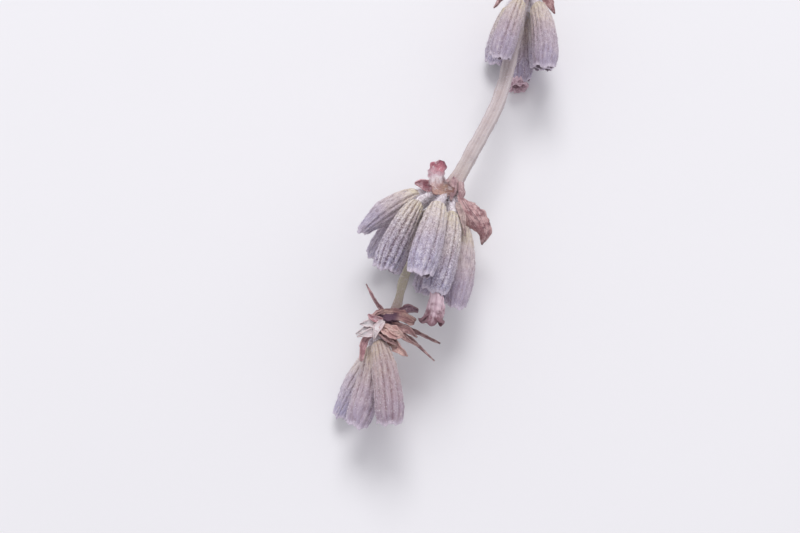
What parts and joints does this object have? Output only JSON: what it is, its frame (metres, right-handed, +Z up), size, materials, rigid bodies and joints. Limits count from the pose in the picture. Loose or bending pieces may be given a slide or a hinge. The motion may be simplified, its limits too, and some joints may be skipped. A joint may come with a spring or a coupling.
{
  "type": "dried lavender",
  "caption": "Dried lavender sprig lying on a surface: whorls of ribbed, downy calyces, withered corollas and curled bracts on a bare stem cut off at one end.",
  "frame": {"origin": "on the surface that the sprig lies on, under the middle of its bounding box", "axes": "+Z up from that surface; +Y along the stem, from the flowering tip to the cut end; +X to the right, seen from above with the cut end at the top"},
  "size_m": [0.0116, 0.0614, 0.0088],
  "materials": {
    "stem": "matt, finely downy, pale beige grey",
    "calyx": "matt, felted with short hairs, beige at the base to grey lilac at the mouth",
    "bract": "papery, withered, tan to red brown",
    "shred": "papery, withered, pale pink to brown",
    "corolla": "papery, withered, pale pink lilac"
  },
  "bodies": {
    "root": {"stem": "stem", "calyx_mid_1": "calyx", "calyx_mid_2": "calyx", "calyx_mid_3": "calyx", "calyx_mid_4": "calyx", "calyx_mid_5": "calyx", "calyx_mid_6": "calyx", "calyx_mid_7": "calyx", "calyx_mid_8": "calyx", "calyx_mid_9": "calyx", "calyx_tip_1": "calyx", "calyx_tip_2": "calyx", "calyx_tip_3": "calyx", "calyx_top_1": "calyx", "calyx_top_2": "calyx", "calyx_top_3": "calyx", "calyx_top_4": "calyx", "calyx_top_5": "calyx", "bract_mid_hood": "bract", "bract_mid_left": "bract", "bract_mid_right": "bract", "bract_tip_back": "bract", "bract_tip_front": "bract", "bract_tip_orange": "bract", "bract_top_left": "bract", "bract_top_right": "bract", "bracteole_mid": "shred", "shred_tip_1": "shred", "shred_tip_2": "shred", "shred_tip_3": "shred", "shred_tip_4": "shred", "shred_tip_5": "shred", "strap_tip": "shred", "corolla_mid": "corolla", "corolla_top": "corolla"}
  },
  "joints": []
}
